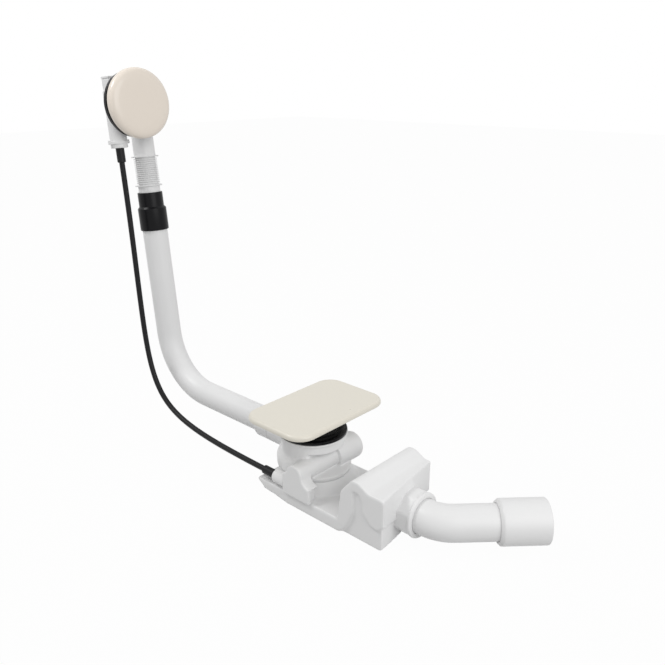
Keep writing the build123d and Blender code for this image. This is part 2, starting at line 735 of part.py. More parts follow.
def outlet_nut():
    x0 = outlet_nut_front - outlet_nut_length
    r = outlet_nut_od / 2
    nut = along_x(r, x0, outlet_nut_front, 0, outlet_z)
    nut = fillet(nut.edges().filter_by(GeomType.CIRCLE), 2)
    plane = Plane(origin=(x0 - 1, 0, outlet_z), x_dir=(0, 1, 0), z_dir=(1, 0, 0))
    flats = Rot(0, 0, 180 / nut_grips) * RegularPolygon(r * nut_flat, nut_grips, major_radius=False)
    grip = extrude(plane * flats, outlet_nut_length - nut_rim + 1)
    rim = along_x(r, outlet_nut_front - nut_rim, outlet_nut_front, 0, outlet_z)
    nut = nut & (grip + rim)
    nut -= along_x(outlet_spigot_od / 2 + push_clearance, x0 - 1, outlet_nut_front - nut_lip, 0, outlet_z)
    return nut - along_x(tube_od / 2 + 0.2, x0, outlet_nut_front + 1, 0, outlet_z)


def outlet_seal():
    x0 = outlet_nut_front - 8
    ring_body = along_x(outlet_spigot_od / 2, x0, x0 + 2.2, 0, outlet_z)
    return ring_body - along_x(tube_od / 2 - tube_wall, x0 - 1, x0 + 4, 0, outlet_z)


def bend_direction():
    return Vector(cos(radians(bend_angle)), sin(radians(bend_angle)), 0)


def outlet_route():
    start = Vector(outlet_nut_front - 5.8, 0, outlet_z)
    corner = Vector(bend_corner_x, 0, outlet_z)
    reach = bend_radius * tan(radians(bend_angle / 2))
    a = corner - Vector(reach, 0, 0)
    b = corner + bend_direction() * reach
    end = corner + bend_direction() * (end_start + end_socket_depth - 1)
    centre_out = (Vector(0, 1, 0) * bend_radius + a)
    middle = centre_out + Vector(sin(radians(bend_angle / 2)), -cos(radians(bend_angle / 2)), 0) * bend_radius
    return Wire([Line(start, a).edge(), ThreePointArc(a, middle, b).edge(), Line(b, end).edge()])


def swept_tube(route, outer, inner):
    start = Plane(origin=route @ 0, z_dir=route % 0)
    return sweep(start * (Circle(outer) - Circle(inner)), path=route)


def outlet_elbow():
    tube = swept_tube(outlet_route(), tube_od / 2, tube_od / 2 - tube_wall)
    x0 = outlet_nut_front - 5.8
    flange = along_x(outlet_spigot_od / 2, x0, x0 + 2.2, 0, outlet_z)
    return tube + (flange - along_x(tube_od / 2 - tube_wall, x0 - 1, x0 + 4, 0, outlet_z))


def along_outlet(radius, t0, t1):
    """A cylinder on the end piece's axis, measured from the bend's corner."""
    origin = Vector(bend_corner_x, 0, outlet_z) + bend_direction() * t0
    return extrude(Plane(origin=origin, z_dir=bend_direction()) * Circle(radius), t1 - t0)


def end_piece():
    t1 = end_start + end_length
    body = along_outlet(end_od / 2, end_start, t1)
    rims = body.edges().filter_by(GeomType.CIRCLE).sort_by(Axis.X)
    body = chamfer(rims[:1], 3)
    body = fillet(body.edges().filter_by(GeomType.CIRCLE).sort_by(Axis.X)[-1:], 0.8)
    body -= along_outlet(tube_od / 2 + push_clearance, end_start - 1, end_start + end_socket_depth)
    body -= along_outlet(tube_od / 2 + lip_depth, end_start + 5, end_start + 5 + lip_width)
    return body - along_outlet(end_od / 2 - end_wall, end_start + end_socket_depth + 2, t1 + 1) - \
        along_outlet(tube_od / 2 - tube_wall, end_start, t1)


def lip_seal():
    t0 = end_start + 5
    body = along_outlet(tube_od / 2 + lip_depth, t0, t0 + lip_width)
    return body - along_outlet(tube_od / 2, t0 - 1, t0 + lip_width + 1)


def up_pipe(radius, t0, t1):
    """A cylinder on the leaning pipe's axis, measured up from where the two runs would meet."""
    plane = Plane(origin=pipe_plane.origin + wall_up * t0, x_dir=(0, 1, 0), z_dir=wall_up)
    return extrude(plane * Circle(radius), t1 - t0)


def overflow_pipe():
    corner = Vector(pipe_corner_x, 0, pipe_axis_z)
    turn = 90 - wall_lean
    reach = pipe_bend * tan(radians(turn / 2))
    a = corner + Vector(reach, 0, 0)
    b = corner + wall_up * reach
    bisector = (Vector(1, 0, 0) + wall_up).normalized()
    middle = corner + bisector * (pipe_bend / cos(radians(turn / 2)) - pipe_bend)
    start = Vector(pipe_end_x, 0, pipe_axis_z)
    route = Wire([Line(start, a).edge(), ThreePointArc(a, middle, b).edge(),
                  Line(b, corner + wall_up * pipe_top).edge()])
    return swept_tube(route, pipe_od / 2, pipe_od / 2 - pipe_wall)


def overflow_nut():
    x0 = socket_end_x - overflow_nut_length
    nut = along_x(overflow_nut_od / 2, x0, socket_end_x, 0, pipe_axis_z)
    nut = fillet(nut.edges().filter_by(GeomType.CIRCLE).sort_by(Axis.X)[:1], 2)
    plane = Plane(origin=(x0 + 3, 0, pipe_axis_z), x_dir=(0, 1, 0), z_dir=(1, 0, 0))
    flats = RegularPolygon(overflow_nut_od / 2 * 0.975, 12, major_radius=False)
    grip = extrude(plane * flats, overflow_nut_length - 6)
    nut = nut & (grip + along_x(overflow_nut_od / 2, x0, x0 + 3, 0, pipe_axis_z) +
                 along_x(overflow_nut_od / 2, socket_end_x - 3, socket_end_x, 0, pipe_axis_z))
    room = along_x(overflow_spigot_r + push_clearance, x0 + 3, socket_end_x + 1, 0, pipe_axis_z)
    return nut - room - along_x(pipe_od / 2 + 0.3, x0 - 1, x0 + 5, 0, pipe_axis_z)


def overflow_seal():
    x1 = socket_end_x - overflow_spigot_length
    x0 = socket_end_x - overflow_nut_length + 3
    body = along_x(overflow_spigot_r, x0, x1, 0, pipe_axis_z)
    return body - along_x(pipe_od / 2, x0 - 1, x1 + 1, 0, pipe_axis_z)


def rubber_sleeve():
    low = up_pipe(sleeve_low_od / 2, sleeve_low, sleeve_step)
    low = chamfer(low.edges().filter_by(GeomType.CIRCLE).sort_by(Axis.Z)[-1:], 2)
    low = fillet(low.edges().filter_by(GeomType.CIRCLE).sort_by(Axis.Z)[:1], 1)
    high = up_pipe(sleeve_high_od / 2, sleeve_step - 1, sleeve_high)
    body = low + fillet(high.edges().filter_by(GeomType.CIRCLE).sort_by(Axis.Z)[-1:], 1)
    body -= up_pipe(pipe_od / 2, sleeve_low - 1, pipe_top)
    return body - up_pipe(adapter_od / 2, pipe_top - 1, sleeve_high + 1)


def eared_ring(t):
    """A thin ring round the adapter with two small ears, one at either side."""
    body = up_pipe(ring_od / 2, t - ring_thickness / 2, t + ring_thickness / 2)
    for i in range(ring_ears):
        foot = t + ring_thickness / 2 - ring_ear
        plane = Plane(origin=pipe_plane.origin + wall_up * foot, x_dir=(0, 1, 0), z_dir=wall_up)
        ear = plane * (Rot(0, 0, 135 + 360 / ring_ears * i) * Pos(ring_od / 2 - 1, 0) * Rectangle(4, 5))
        body += extrude(ear, ring_ear)
    return body


def ribbed_adapter():
    nipple_r = spigot_od / 2 - spigot_wall - push_clearance
    body = up_pipe(adapter_od / 2, pipe_top + 1, ring_top)
    body += up_pipe(nipple_r, ring_top - 1, ring_top + nipple_height)
    pitch = (ring_high - ring_low - 4) / rib_count
    for i in range(rib_count):
        t = ring_low + 2 + pitch * (i + 0.5)
        body += up_pipe(rib_od / 2, t - pitch * 0.28, t + pitch * 0.28)
    body += eared_ring(ring_low) + eared_ring(ring_high)
    body -= up_pipe(adapter_od / 2 - adapter_wall, pipe_top, ring_high - 2)
    return body - up_pipe(nipple_r - adapter_wall, ring_high - 3, ring_top + nipple_height + 1)


def head_cylinder(radius, s0, s1, across_head=0, up=0):
    """A cylinder square to the wall, in the overflow head's own frame."""
    return extrude(head_plane.offset(s0) * Pos(across_head, up) * Circle(radius), s1 - s0)


def head_block(x0, x1, up0, up1, s0, s1):
    """A box in the overflow head's own frame."""
    spot = Pos((x0 + x1) / 2, (up0 + up1) / 2) * Rectangle(x1 - x0, up1 - up0)
    return extrude(head_plane.offset(s0) * spot, s1 - s0)


def head_upright(radius, up0, up1, across_head, s):
    """A cylinder up the wall, in the overflow head's own frame."""
    origin = head_plane.from_local_coords((across_head, up0, s))
    return extrude(Plane(origin=origin, x_dir=(0, 1, 0), z_dir=wall_up) * Circle(radius), up1 - up0)


def overflow_knob():
    r = knob_od / 2
    body = head_cylinder(r, 0, knob_thickness)
    front = body.edges().filter_by(GeomType.CIRCLE).sort_by(Axis.X)[-1:]
    body = fillet(front, knob_edge)
    body -= head_cylinder(r - knob_wall, -1, knob_thickness - knob_wall - 1)
    body += head_cylinder(knob_hub_od / 2, 1.5, knob_thickness - knob_wall)
    return body - head_cylinder(spindle_d / 2, -1, knob_thickness - knob_wall - 1)


def knob_spindle():
    """The knob's shaft with the pinion cut on it."""
    shaft = head_cylinder(spindle_d / 2, -channel_setback - spindle_tail, knob_thickness - knob_wall - 1)
    s0 = -channel_setback - sector_width / 2
    plane = head_plane.offset(s0)
    teeth = extrude(plane * (Rot(0, 0, pinion_start) * gear_face(pinion_teeth)), sector_width)
    return shaft + teeth


def head_rack():
    """The upper rack. Its teeth face the spindle, and it moves down the wall as the plug closes."""
    s0 = -channel_setback - sector_width / 2
    plane = Plane(origin=head_plane.from_local_coords((-pinion_r, wire_travel / 2, s0)),
                  x_dir=Vector(0, 0, 0) - wall_up, z_dir=wall_out)
    body = extrude(plane * rack_face(rack_teeth, -channel_offset - pinion_r + 3), sector_width)
    return body - head_upright(wire_d / 2, -90, upper_wire_end, channel_offset, -channel_setback)


def upper_wire():
    up0 = upper_ferrule_low + sheath_overlap + wire_travel + wire_gap
    return head_upright(wire_d / 2, up0, upper_wire_end, channel_offset, -channel_setback)


def spindle_seal():
    plane = head_plane.offset(spindle_seal_s)
    return plane * Torus(spindle_d / 2 + oring_section / 2, oring_section / 2 - 0.01)


def clamp_flange():
    s0 = -wall_gap + wall_thickness
    body = head_cylinder(clamp_od / 2, s0, s0 + clamp_thickness)
    body -= head_cylinder(knob_hub_od / 2 + 1.5, -9, 9)
    for side in (-1, 1):
        body -= head_cylinder(screw_d / 2 + 0.2, -9, 9, 0, side * screw_pitch / 2)
        for up in (-11, 0, 11):
            body -= head_block(side * 21 - 7, side * 21 + 7, up - 3.5, up + 3.5, -9, 9)
    return body


def clamp_screw(side):
    s1 = -wall_gap + wall_thickness + clamp_thickness
    up = side * screw_pitch / 2
    head = head_cylinder(screw_d * 0.9, s1, s1 + 2.6, 0, up)
    head = fillet(head.edges().filter_by(GeomType.CIRCLE).sort_by(Axis.X)[-1:], 1.5)
    slot = head_block(-screw_d, screw_d, up - 0.6, up + 0.6, s1 + 1.2, s1 + 4)
    return head - slot + head_cylinder(screw_d / 2, s1 - screw_length, s1, 0, up)


def head_gasket():
    s1 = -wall_gap
    body = head_cylinder(head_gasket_od / 2, s1 - head_gasket_thickness, s1)
    return body - head_cylinder(housing_od / 2 - housing_wall, -99, 9)


def overflow_housing():
    s1 = -wall_gap - head_gasket_thickness
    cup = head_cylinder(housing_od / 2, s1 - housing_depth, s1)
    cup = fillet(cup.edges().filter_by(GeomType.CIRCLE).sort_by(Axis.X)[:1], 4)
    cup += head_cylinder(housing_flange_od / 2, s1 - 2, s1)
    cup -= head_cylinder(housing_od / 2 - housing_wall, s1 - housing_depth + housing_wall, s1 + 1)
    x = channel_offset
    r = channel_od / 2
    half_x = channel_head_x / 2
    half_s = channel_head_s / 2
    cup -= head_block(x - half_x, x + half_x, channel_top - cap_thickness, channel_top,
                      -channel_setback - half_s, -channel_setback + half_s)
    cup += head_upright(r, channel_low, channel_square_low, x, -channel_setback)
    cup += head_block(x - half_x, x + half_x, channel_square_low - 4, channel_top - cap_thickness,
                      -channel_setback - half_s, -channel_setback + half_s)
    cup += head_cylinder(spindle_boss_r, -channel_setback - spindle_tail - 3, s1 - 2)
    for side in (-1, 1):
        cup += head_cylinder(screw_d, s1 - housing_depth, s1 - 1, 0, side * screw_pitch / 2)
    dx = -head_y
    ds = -pipe_setback
    down = head_upright(down_tube_r, spigot_step_up, 12, dx, ds)
    down = fillet(down.edges().filter_by(GeomType.CIRCLE).sort_by(Axis.Z)[-1:], 8)
    cup += down
    cup += head_upright(spigot_od / 2, spigot_low_up, spigot_step_up, dx, ds)
    cup -= head_upright(down_tube_r - housing_wall, spigot_step_up + 3, 12 - housing_wall, dx, ds)
    cup -= head_upright(spigot_od / 2 - spigot_wall, spigot_low_up - 1, spigot_step_up + 4, dx, ds)
    s_mid = -channel_setback
    half = sector_width / 2 + 0.5
    cup -= head_cylinder(pinion_r + 2.0, s_mid - half, s_mid + half)
    rack_reach = rack_teeth * pi * tooth_module / 2 + wire_travel / 2 + 1.5
    cup -= head_block(x - 3.6, -pinion_r + 2, -rack_reach, rack_reach, s_mid - half, s_mid + half)
    cup -= head_block(x - 4, x + 4, rack_reach - 1, channel_top, s_mid - half, s_mid + half)
    cup -= head_upright(ferrule_d / 2 + push_clearance, channel_low - 1, upper_ferrule_top, x, s_mid)
    cup -= head_upright(wire_d / 2 + 0.4, channel_low, 0, x, s_mid)
    cup -= head_cylinder(spindle_d / 2 + axle_clearance, -channel_setback - spindle_tail - 0.3, 0)
    cup -= head_cylinder(spindle_d / 2 + oring_section, spindle_seal_s - oring_section / 2,
                         spindle_seal_s + oring_section / 2)
    for side in (-1, 1):
        cup -= head_cylinder(screw_d / 2, s1 - housing_depth + 2, 0, 0, side * screw_pitch / 2)
    return cup


def rack_cap():
    x = channel_offset
    half_x = channel_head_x / 2
    half_s = channel_head_s / 2
    cap = head_block(x - half_x, x + half_x, channel_top - cap_thickness, channel_top,
                     -channel_setback - half_s, -channel_setback + half_s)
    half = sector_width / 2 + 0.4
    return cap + head_block(x - 3.9, x + 3.9, channel_top - cap_thickness - 3, channel_top,
                            -channel_setback - half, -channel_setback + half)


def upper_ferrule():
    x = channel_offset
    body = head_upright(ferrule_d / 2, upper_ferrule_low, upper_ferrule_top, x, -channel_setback)
    body = chamfer(body.edges().filter_by(GeomType.CIRCLE).sort_by(Axis.Z)[:1], 1)
    body -= head_upright(cable_d / 2, upper_ferrule_low - 1, upper_ferrule_low + sheath_overlap, x,
                         -channel_setback)
    return body - head_upright(wire_d / 2 + 0.4, upper_ferrule_low, 0, x, -channel_setback)


def cable_collar():
    """The thin ring with two ears that is clipped round the foot of the channel."""
    x = channel_offset
    s = -channel_setback
    body = head_upright(collar_od / 2, collar_up - collar_height / 2, collar_up + collar_height / 2, x, s)
    for side in (-1, 1):
        x0 = x + side * collar_od / 2
        body += head_block(min(x0 - side, x0 + side * 1.8), max(x0 - side, x0 + side * 1.8),
                           collar_up - collar_height / 2, collar_up + collar_height / 2 + 1, s - 2.5, s + 2.5)
    return body - head_upright(channel_od / 2, collar_up - collar_height, collar_up + collar_height + 2, x, s)


parts = {
    "overflow_knob": overflow_knob,
    "knob_spindle": knob_spindle,
    "spindle_seal": spindle_seal,
    "clamp_flange": clamp_flange,
    "clamp_screw_upper": lambda: clamp_screw(1),
    "clamp_screw_lower": lambda: clamp_screw(-1),
    "head_gasket": head_gasket,
    "overflow_housing": overflow_housing,
    "rack_cap": rack_cap,
    "head_rack": head_rack,
    "upper_wire": upper_wire,
    "cable_collar": cable_collar,
    "upper_ferrule": upper_ferrule,
    "cable_sheath": cable_sheath,
    "lower_ferrule": lower_ferrule,
    "cable_bushing": cable_bushing,
    "lower_wire": lower_wire,
    "ribbed_adapter": ribbed_adapter,
    "rubber_sleeve": rubber_sleeve,
    "overflow_pipe": overflow_pipe,
    "overflow_nut": overflow_nut,
    "overflow_seal": overflow_seal,
    "drain_cover": drain_cover,
    "plug": plug,
    "plug_seal": plug_seal,
    "drain_flange": drain_flange,
    "drain_gasket": drain_gasket,
    "drain_body": drain_body,
    "lift_axle": lift_axle,
    "axle_seal": axle_seal,
    "gear_sector": gear_sector,
    "lift_arm": lift_arm,
    "drain_rack": drain_rack,
    "body_seal": body_seal,
    "trap_body": trap_body,
    "outlet_seal": outlet_seal,
    "outlet_nut": outlet_nut,
    "outlet_elbow": outlet_elbow,
    "end_piece": end_piece,
    "lip_seal": lip_seal,
}

if __name__ == "__main__":
    os.makedirs("parts", exist_ok=True)
    for name, make in parts.items():
        shape = make()
        shape.label = name
        export_step(shape, f"parts/{name}.step")
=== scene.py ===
"""The finish of a bath waste and overflow: satin white mouldings, soft beige cover and knob, black rubber."""
import json
import math

import bmesh
import bpy
from mathutils import Matrix, Vector


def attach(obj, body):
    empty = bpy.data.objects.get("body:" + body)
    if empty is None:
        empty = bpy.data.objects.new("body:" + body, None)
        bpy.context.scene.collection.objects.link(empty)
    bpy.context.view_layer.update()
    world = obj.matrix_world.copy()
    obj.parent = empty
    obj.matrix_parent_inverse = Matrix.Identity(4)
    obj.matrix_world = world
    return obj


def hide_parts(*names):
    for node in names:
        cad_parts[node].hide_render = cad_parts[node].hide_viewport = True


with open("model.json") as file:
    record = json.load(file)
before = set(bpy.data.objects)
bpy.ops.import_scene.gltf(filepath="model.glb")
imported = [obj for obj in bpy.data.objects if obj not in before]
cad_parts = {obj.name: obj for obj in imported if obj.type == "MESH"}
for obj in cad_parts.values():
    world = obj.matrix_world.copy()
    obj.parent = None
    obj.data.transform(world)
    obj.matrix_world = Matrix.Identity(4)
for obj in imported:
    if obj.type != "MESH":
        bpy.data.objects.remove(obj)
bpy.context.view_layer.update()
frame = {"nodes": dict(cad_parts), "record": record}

MM = 0.001
slot_of_node = {row["node"]: row["material_slot"] for row in frame["record"]["subparts"]}
bodies = frame["record"]["behaviour"]["bodies"]
body_of_node = {node: body for body, nodes in bodies.items() for node in nodes}


# Camera

camera_place = Vector((534.68, -547.61, 395.10)) * MM
camera_turn = math.radians(42.579)
camera_fall = math.radians(19.780)

lens = bpy.data.cameras.new("camera")
lens.lens = 38.67
lens.sensor_width = 36.0
lens.clip_start = 0.01
camera = bpy.data.objects.new("camera", lens)
camera.location = camera_place
camera.rotation_euler = (math.pi / 2 - camera_fall, 0, camera_turn)
bpy.context.scene.collection.objects.link(camera)
bpy.context.scene.camera = camera
bpy.context.scene.view_settings.view_transform = "Standard"


# Light and floor

def soft_lamp(name, place, target, size, power):
    """A large square lamp that looks at a point."""
    lamp = bpy.data.lights.new(name, "AREA")
    lamp.shape = "SQUARE"
    lamp.size = size
    lamp.energy = power
    thing = bpy.data.objects.new(name, lamp)
    thing.location = place
    thing.rotation_euler = (Vector(target) - Vector(place)).to_track_quat("-Z", "Y").to_euler()
    bpy.context.scene.collection.objects.link(thing)


def seen_directly(tree):
    """How much a ray looks straight at the background: by camera, mirror or glass."""
    path = tree.nodes.new("ShaderNodeLightPath")
    mirrored = tree.nodes.new("ShaderNodeMath")
    mirrored.operation = "MAXIMUM"
    through = tree.nodes.new("ShaderNodeMath")
    through.operation = "MAXIMUM"
    tree.links.new(path.outputs["Is Camera Ray"], mirrored.inputs[0])
    tree.links.new(path.outputs["Is Glossy Ray"], mirrored.inputs[1])
    tree.links.new(mirrored.outputs[0], through.inputs[0])
    tree.links.new(path.outputs["Is Transmission Ray"], through.inputs[1])
    return through.outputs[0]


def paper_world(light_strength):
    """A world that lights evenly and shows as white paper."""
    world = bpy.data.worlds.new("studio")
    world.use_nodes = True
    tree = world.node_tree
    tree.nodes.clear()
    out = tree.nodes.new("ShaderNodeOutputWorld")
    lit = tree.nodes.new("ShaderNodeBackground")
    lit.inputs["Color"].default_value = (1.0, 1.0, 1.0, 1.0)
    lit.inputs["Strength"].default_value = light_strength
    seen = tree.nodes.new("ShaderNodeBackground")
    seen.inputs["Color"].default_value = (1.0, 1.0, 1.0, 1.0)
    seen.inputs["Strength"].default_value = 1.0
    mix = tree.nodes.new("ShaderNodeMixShader")
    tree.links.new(seen_directly(tree), mix.inputs["Fac"])
    tree.links.new(lit.outputs[0], mix.inputs[1])
    tree.links.new(seen.outputs[0], mix.inputs[2])
    tree.links.new(mix.outputs[0], out.inputs["Surface"])
    bpy.context.scene.world = world


def paper_floor(height, whiteness):
    """A pale floor under the part, white to the camera but for the part's soft shadow."""
    shape = bmesh.new()
    bmesh.ops.create_grid(shape, x_segments=1, y_segments=1, size=6.0)
    bmesh.ops.translate(shape, verts=shape.verts, vec=(0, 0, height))
    mesh = bpy.data.meshes.new("floor")
    shape.to_mesh(mesh)
    shape.free()
    floor = bpy.data.objects.new("floor", mesh)
    bpy.context.scene.collection.objects.link(floor)
    material = bpy.data.materials.new("floor_paper")
    material.use_nodes = True
    tree = material.node_tree
    tree.nodes.clear()
    out = tree.nodes.new("ShaderNodeOutputMaterial")
    paper = tree.nodes.new("ShaderNodeBsdfDiffuse")
    paper.inputs["Color"].default_value = (0.50, 0.50, 0.50, 1.0)
    glow = tree.nodes.new("ShaderNodeEmission")
    glow.inputs["Color"].default_value = (1.0, 1.0, 1.0, 1.0)
    share = tree.nodes.new("ShaderNodeMath")
    share.operation = "MULTIPLY"
    share.inputs[1].default_value = whiteness
    mix = tree.nodes.new("ShaderNodeMixShader")
    tree.links.new(seen_directly(tree), share.inputs[0])
    tree.links.new(share.outputs[0], mix.inputs["Fac"])
    tree.links.new(paper.outputs[0], mix.inputs[1])
    tree.links.new(glow.outputs[0], mix.inputs[2])
    tree.links.new(mix.outputs[0], out.inputs["Surface"])
    floor.data.materials.append(material)


# Finishes

def socketed_group(name, inputs, outputs):
    """An empty shader group with named inputs and outputs."""
    group = bpy.data.node_groups.new(name, "ShaderNodeTree")
    for label, kind, value in inputs:
        socket = group.interface.new_socket(label, in_out="INPUT", socket_type=kind)
        socket.default_value = value
    for label, kind in outputs:
        group.interface.new_socket(label, in_out="OUTPUT", socket_type=kind)
    start = group.nodes.new("NodeGroupInput")
    end = group.nodes.new("NodeGroupOutput")
    return group, start, end


def moulded_skin_group():
    """Fine mould texture: slow drift of tone, small roughness change and a spark-eroded grain."""
    color = "NodeSocketColor"
    number = "NodeSocketFloat"
    group, start, end = socketed_group(
        "moulded_skin",
        [("Color", color, (0.8, 0.8, 0.8, 1)), ("Drift", number, 0.04), ("Roughness", number, 0.35),
         ("Grain size", number, 900.0), ("Grain depth", number, 0.08)],
        [("Color", color), ("Roughness", number), ("Normal", "NodeSocketVector")])
    place = group.nodes.new("ShaderNodeTexCoord")
    slow = group.nodes.new("ShaderNodeTexNoise")
    slow.inputs["Scale"].default_value = 14.0
    slow.inputs["Detail"].default_value = 3.0
    fine = group.nodes.new("ShaderNodeTexNoise")
    fine.inputs["Detail"].default_value = 2.0
    centre = group.nodes.new("ShaderNodeMath")
    centre.operation = "SUBTRACT"
    centre.inputs[1].default_value = 0.5
    amount = group.nodes.new("ShaderNodeMath")
    amount.operation = "MULTIPLY_ADD"
    amount.inputs[2].default_value = 1.0
    tint = group.nodes.new("ShaderNodeVectorMath")
    tint.operation = "SCALE"
    rough = group.nodes.new("ShaderNodeMath")
    rough.operation = "MULTIPLY_ADD"
    rough.inputs[1].default_value = 0.16
    bump = group.nodes.new("ShaderNodeBump")
    bump.inputs["Distance"].default_value = 0.0002
    links = group.links
    links.new(place.outputs["Object"], slow.inputs["Vector"])
    links.new(place.outputs["Object"], fine.inputs["Vector"])
    links.new(start.outputs["Grain size"], fine.inputs["Scale"])
    links.new(slow.outputs["Fac"], centre.inputs[0])
    links.new(centre.outputs[0], amount.inputs[0])
    links.new(start.outputs["Drift"], amount.inputs[1])
    links.new(start.outputs["Color"], tint.inputs[0])
    links.new(amount.outputs[0], tint.inputs["Scale"])
    links.new(centre.outputs[0], rough.inputs[0])
    links.new(start.outputs["Roughness"], rough.inputs[2])
    links.new(fine.outputs["Fac"], bump.inputs["Height"])
    links.new(start.outputs["Grain depth"], bump.inputs["Strength"])
    links.new(tint.outputs[0], end.inputs["Color"])
    links.new(rough.outputs[0], end.inputs["Roughness"])
    links.new(bump.outputs[0], end.inputs["Normal"])
    return group


moulded_skin = moulded_skin_group()


def moulded(name, color, drift, roughness, grain_size, grain_depth, specular=0.5):
    """A moulded plastic or rubber with its own values of the shared skin."""
    material = bpy.data.materials.new(name)
    material.use_nodes = True
    tree = material.node_tree
    shader = tree.nodes["Principled BSDF"]
    skin = tree.nodes.new("ShaderNodeGroup")
    skin.node_tree = moulded_skin
    skin.inputs["Color"].default_value = (*color, 1.0)
    skin.inputs["Drift"].default_value = drift
    skin.inputs["Roughness"].default_value = roughness
    skin.inputs["Grain size"].default_value = grain_size
    skin.inputs["Grain depth"].default_value = grain_depth
    shader.inputs["Specular IOR Level"].default_value = specular
    tree.links.new(skin.outputs["Color"], shader.inputs["Base Color"])
    tree.links.new(skin.outputs["Roughness"], shader.inputs["Roughness"])
    tree.links.new(skin.outputs["Normal"], shader.inputs["Normal"])
    return material


white_plastic = moulded("white_plastic", (0.79, 0.79, 0.79), 0.04, 0.40, 1400.0, 0.10, 0.4)
beige_plastic = moulded("beige_plastic", (0.735, 0.70, 0.615), 0.02, 0.30, 2200.0, 0.04, 0.5)
# The knob's beige is a copy of the cover's, made pinker and lighter. The pink is the knob's own tint. The
# extra lightness is painted light that makes up for the weaker light falling on its face.
knob_beige_painted_light = moulded("knob_beige_painted_light", (0.835, 0.755, 0.665), 0.02, 0.26, 2200.0, 0.03, 0.5)
black_rubber = moulded("black_rubber", (0.004, 0.004, 0.005), 0.3, 0.32, 1600.0, 0.12, 0.16)
black_plastic = moulded("black_plastic", (0.008, 0.008, 0.009), 0.2, 0.42, 1500.0, 0.12, 0.22)
black_sheath = moulded("black_sheath", (0.008, 0.008, 0.009), 0.2, 0.40, 1200.0, 0.10, 0.2)
deep_black = moulded("deep_black", (0.003, 0.003, 0.003), 0.2, 0.55, 1500.0, 0.12, 0.06)
acetal = moulded("acetal", (0.72, 0.70, 0.66), 0.05, 0.35, 1800.0, 0.06)
steel = moulded("stainless_steel", (0.52, 0.52, 0.51), 0.1, 0.28, 900.0, 0.1)
steel.node_tree.nodes["Principled BSDF"].inputs["Metallic"].default_value = 1.0

finish_of_slot = {
    "white_plastic": white_plastic, "beige_plastic": beige_plastic, "black_rubber": black_rubber,
    "black_plastic": black_plastic, "black_sheath": black_sheath, "acetal": acetal,
    "stainless_steel": steel, "wire": steel,
}

finish_of_node = {node: finish_of_slot[slot] for node, slot in slot_of_node.items()}
for node in ("plug", "plug_seal", "drain_flange"):
    finish_of_node[node] = deep_black
for name, thing in frame["nodes"].items():
    thing.data.materials.clear()
    thing.data.materials.append(finish_of_node[name])


# Where the leaning parts stand

wall_lean = math.radians(5.5)
wall_out = Vector((math.cos(wall_lean), 0, math.sin(wall_lean)))
wall_up = Vector((-math.sin(wall_lean), 0, math.cos(wall_lean)))
along_bath = Vector((0, 1, 0))


def standing(origin, across, up):
    """The place of a piece whose own Z runs along up and whose own X runs along across."""
    side = up.cross(across)
    turned = Matrix((across, side, up)).transposed().to_4x4()
    return Matrix.Translation(Vector(origin) * MM) @ turned @ Matrix.Scale(MM, 4)


knob_place = standing((-279.1, -22.0, 362.3), along_bath, wall_out)
pipe_place = standing((-277.2, 0.0, -19.7), along_bath, wall_up)


# How pieces are made

def stand_for(shape, name, node, corner=None, finish=None):
    """Puts a finished shape in the scene in place of a solid, on its body and with its finish."""
    mesh = bpy.data.meshes.new(name)
    shape.to_mesh(mesh)
    shape.free()
    mesh.shade_smooth()
    if corner:
        mesh.set_sharp_from_angle(angle=math.radians(corner))
    mesh.materials.append(finish or finish_of_slot[slot_of_node[node]])
    piece = bpy.data.objects.new(name, mesh)
    bpy.context.scene.collection.objects.link(piece)
    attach(piece, body_of_node[node])
    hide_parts(node)


def merged_copy(node):
    """The solid's own mesh as one closed skin."""
    shape = bmesh.new()
    shape.from_mesh(frame["nodes"][node].data)
    bmesh.ops.remove_doubles(shape, verts=shape.verts, dist=0.001 * MM)
    return shape


def soft_moulding(name, node, grain, passes, shape=None):
    """A solid with every edge run soft, as it leaves the mould. Grain is the skin's fineness in mm."""
    shape = shape or merged_copy(node)
    mesh = bpy.data.meshes.new(name)
    shape.to_mesh(mesh)
    shape.free()
    raw = bpy.data.objects.new(name, mesh)
    bpy.context.scene.collection.objects.link(raw)
    skin = raw.modifiers.new("skin", "REMESH")
    skin.mode = "VOXEL"
    skin.voxel_size = grain * MM
    seen = raw.evaluated_get(bpy.context.evaluated_depsgraph_get())
    shape = bmesh.new()
    shape.from_mesh(seen.to_mesh())
    seen.to_mesh_clear()
    bpy.data.objects.remove(raw)
    bpy.data.meshes.remove(mesh)
    for _ in range(passes):
        bmesh.ops.smooth_vert(shape, verts=shape.verts, factor=0.5, use_axis_x=True, use_axis_y=True,
                              use_axis_z=True)
    stand_for(shape, name, node)


def turned_shape(outline, steps=96):
    """A closed shape spun from an outline of (radius, height) in mm round its own Z."""
    shape = bmesh.new()
    line = [shape.verts.new((radius, 0, height)) for radius, height in outline]
    edges = [shape.edges.new(pair) for pair in zip(line, line[1:] + line[:1])]
    bmesh.ops.spin(shape, geom=line + edges, cent=(0, 0, 0), axis=(0, 0, 1), angle=2 * math.pi, steps=steps,
                   use_merge=True)
    bmesh.ops.remove_doubles(shape, verts=shape.verts, dist=0.001)
    loose = [edge for edge in shape.edges if not edge.link_faces]
    bmesh.ops.delete(shape, geom=loose, context="EDGES")
    bmesh.ops.recalc_face_normals(shape, faces=shape.faces)
    return shape


